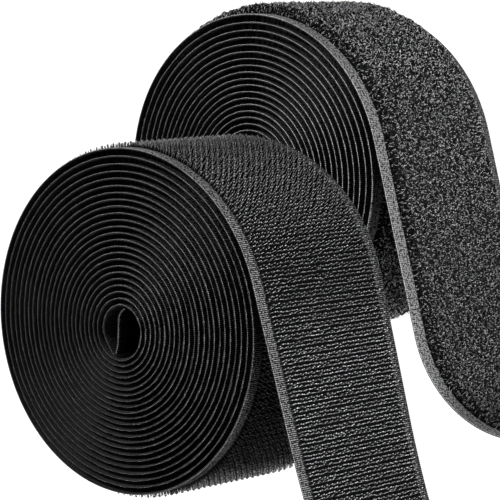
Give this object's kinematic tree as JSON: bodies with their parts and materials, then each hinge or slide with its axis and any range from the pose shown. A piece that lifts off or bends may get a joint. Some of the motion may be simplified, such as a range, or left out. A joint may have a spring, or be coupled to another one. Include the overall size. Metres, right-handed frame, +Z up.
{
  "type": "hook and loop tape roll",
  "caption": "Matching coreless rolls of black hook tape and loop tape, each wound in a loose spiral with its free end leading off.",
  "frame": {"origin": "under the middle of the set's box, on the surface the loop roll lies on", "axes": "+Z up along the axes of both rolls, +Y from the hook roll to the loop roll, +X towards the side the tails lead off on"},
  "size_m": [0.1292, 0.129, 0.1003],
  "materials": {
    "ground": "woven, matt",
    "hooks": "rows of small hooks",
    "pile": "brushed loop pile"
  },
  "bodies": {
    "loop_roll": {"loop_backing_coil": "ground", "loop_pile_coil": "pile"},
    "loop_tail": {"loop_backing_tail": "ground", "loop_pile_tail": "pile"},
    "hook_roll": {"hook_backing_coil": "ground", "hook_field_coil": "hooks"},
    "hook_tail": {"hook_backing_tail": "ground", "hook_field_tail": "hooks"}
  },
  "joints": [
    {"name": "hook_roll_lift", "type": "slide", "parent": "loop_roll", "child": "hook_roll", "axis": [0, 0, 1], "range_m": [0, 0.06]},
    {"name": "hook_tail_peel", "type": "hinge", "parent": "hook_roll", "child": "hook_tail", "pos_m": [0.02425, -0.0008, 0.0753], "axis": [0, 0, 1], "range_deg": [0, 60], "stiffness_Nm_per_rad": 0.01},
    {"name": "loop_tail_peel", "type": "hinge", "parent": "loop_roll", "child": "loop_tail", "pos_m": [0.0225, 0.03165, 0.025], "axis": [0, 0, 1], "range_deg": [0, 60], "stiffness_Nm_per_rad": 0.01}
  ]
}
